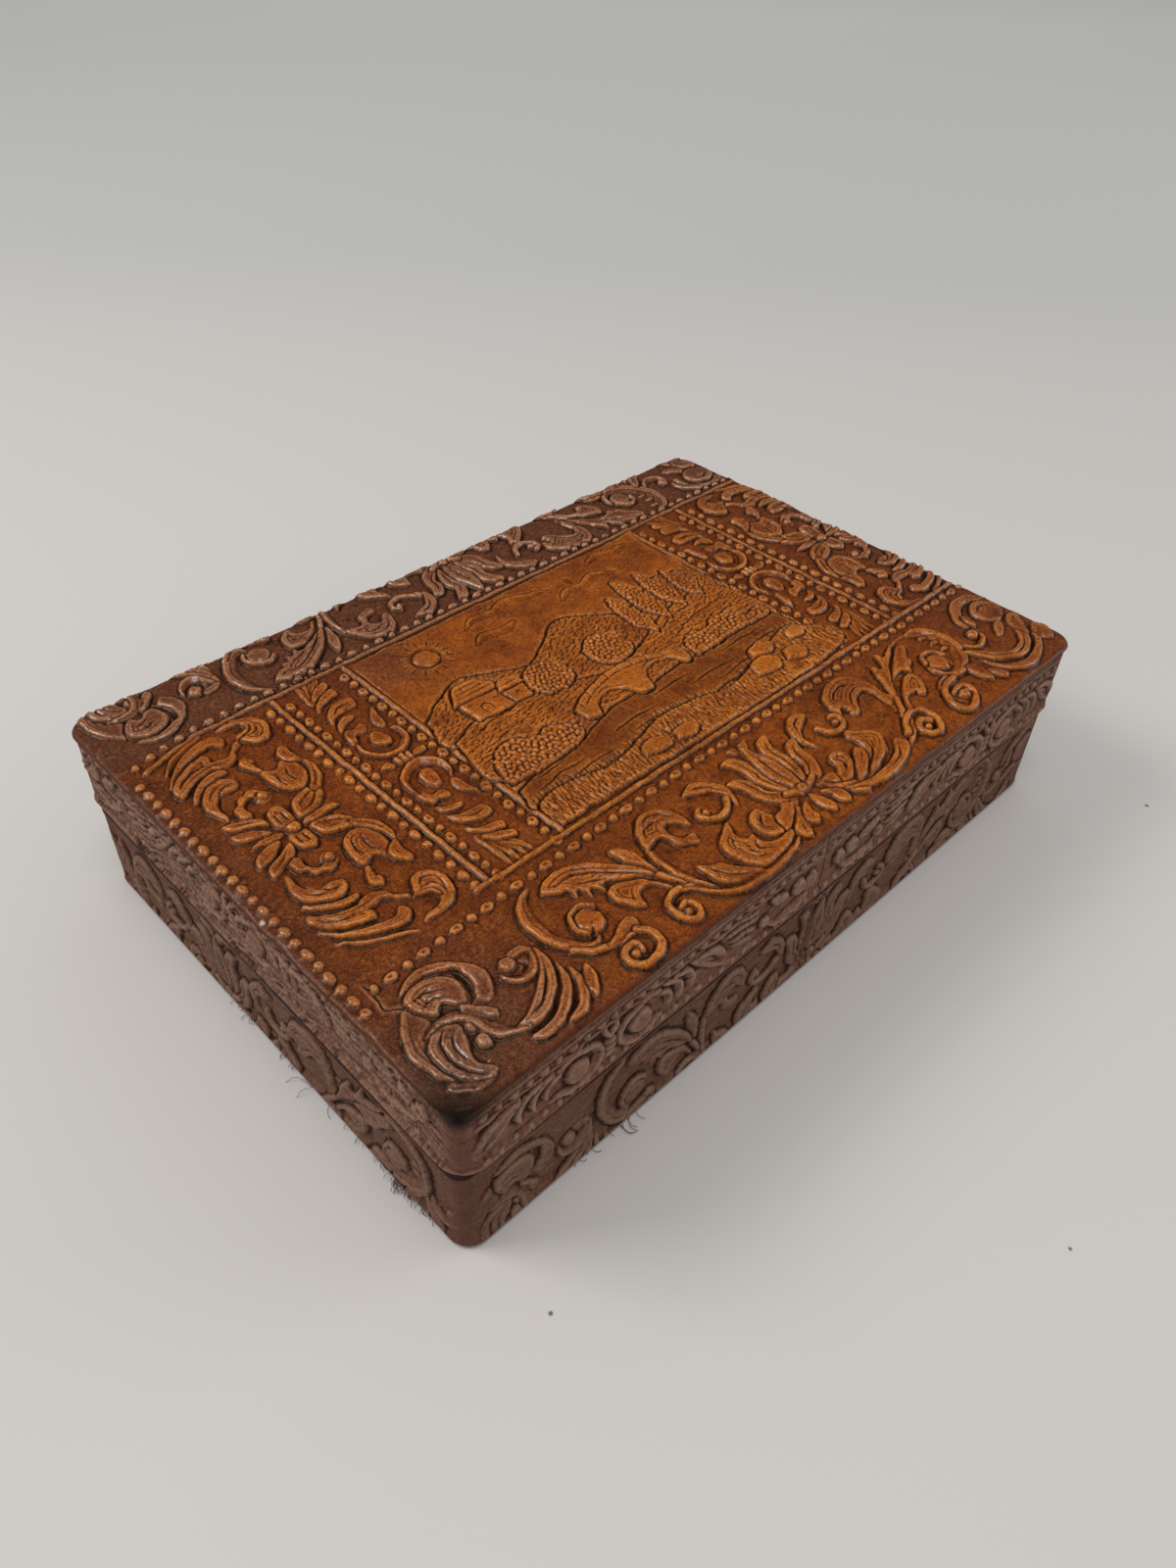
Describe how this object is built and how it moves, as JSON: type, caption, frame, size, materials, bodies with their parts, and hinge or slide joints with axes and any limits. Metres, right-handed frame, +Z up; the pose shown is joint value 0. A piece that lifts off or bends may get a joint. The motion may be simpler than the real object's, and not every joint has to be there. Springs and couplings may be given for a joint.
{
  "type": "tobacco box",
  "caption": "Rectangular wooden tobacco box covered in embossed leather, with a hinged lid, a cedar-lined inside with a divider, and a felt underside.",
  "frame": {"origin": "on the table under the middle of the case, at the centre of the felt underside", "axes": "+Z up, +X along the length to the right seen from the front, front faces -Y, hinges along the back at +Y"},
  "size_m": [0.195, 0.133, 0.047],
  "materials": {
    "top_leather": "embossed, waxed satin with dark patina in the hollows",
    "side_leather": "embossed, matte and dusty",
    "case_wood": "planed, unfinished",
    "cedar": "planed cedar, matte",
    "felt": "worn wool felt",
    "brass": "aged satin"
  },
  "bodies": {
    "base": {"base_back_board": "case_wood", "base_back_lining": "cedar", "base_bottom_board": "case_wood", "base_divider": "cedar", "base_felt": "felt", "base_floor_lining": "cedar", "base_front_board": "case_wood", "base_front_lining": "cedar", "base_hinge_leaf_left": "brass", "base_hinge_leaf_right": "brass", "base_hinge_pin_left": "brass", "base_hinge_pin_right": "brass", "base_hinge_screw_left_inner": "brass", "base_hinge_screw_left_outer": "brass", "base_hinge_screw_right_inner": "brass", "base_hinge_screw_right_outer": "brass", "base_leather_left": "side_leather", "base_leather_right": "side_leather", "base_left_board": "case_wood", "base_left_lining": "cedar", "base_right_board": "case_wood", "base_right_lining": "cedar"},
    "lid": {"lid_back_board": "case_wood", "lid_back_lining": "cedar", "lid_front_board": "case_wood", "lid_front_lining": "cedar", "lid_hinge_leaf_left": "brass", "lid_hinge_leaf_right": "brass", "lid_hinge_screw_left_inner": "brass", "lid_hinge_screw_left_outer": "brass", "lid_hinge_screw_right_inner": "brass", "lid_hinge_screw_right_outer": "brass", "lid_leather_left": "side_leather", "lid_leather_right": "side_leather", "lid_left_board": "case_wood", "lid_left_lining": "cedar", "lid_right_board": "case_wood", "lid_right_lining": "cedar", "lid_top_board": "case_wood", "lid_top_leather": "top_leather", "lid_top_lining": "cedar"}
  },
  "joints": [
    {"name": "lid_hinge", "type": "hinge", "parent": "base", "child": "lid", "pos_m": [0, 0.0659, 0.0272], "axis": [-1, 0, 0], "range_deg": [0, 100]}
  ]
}
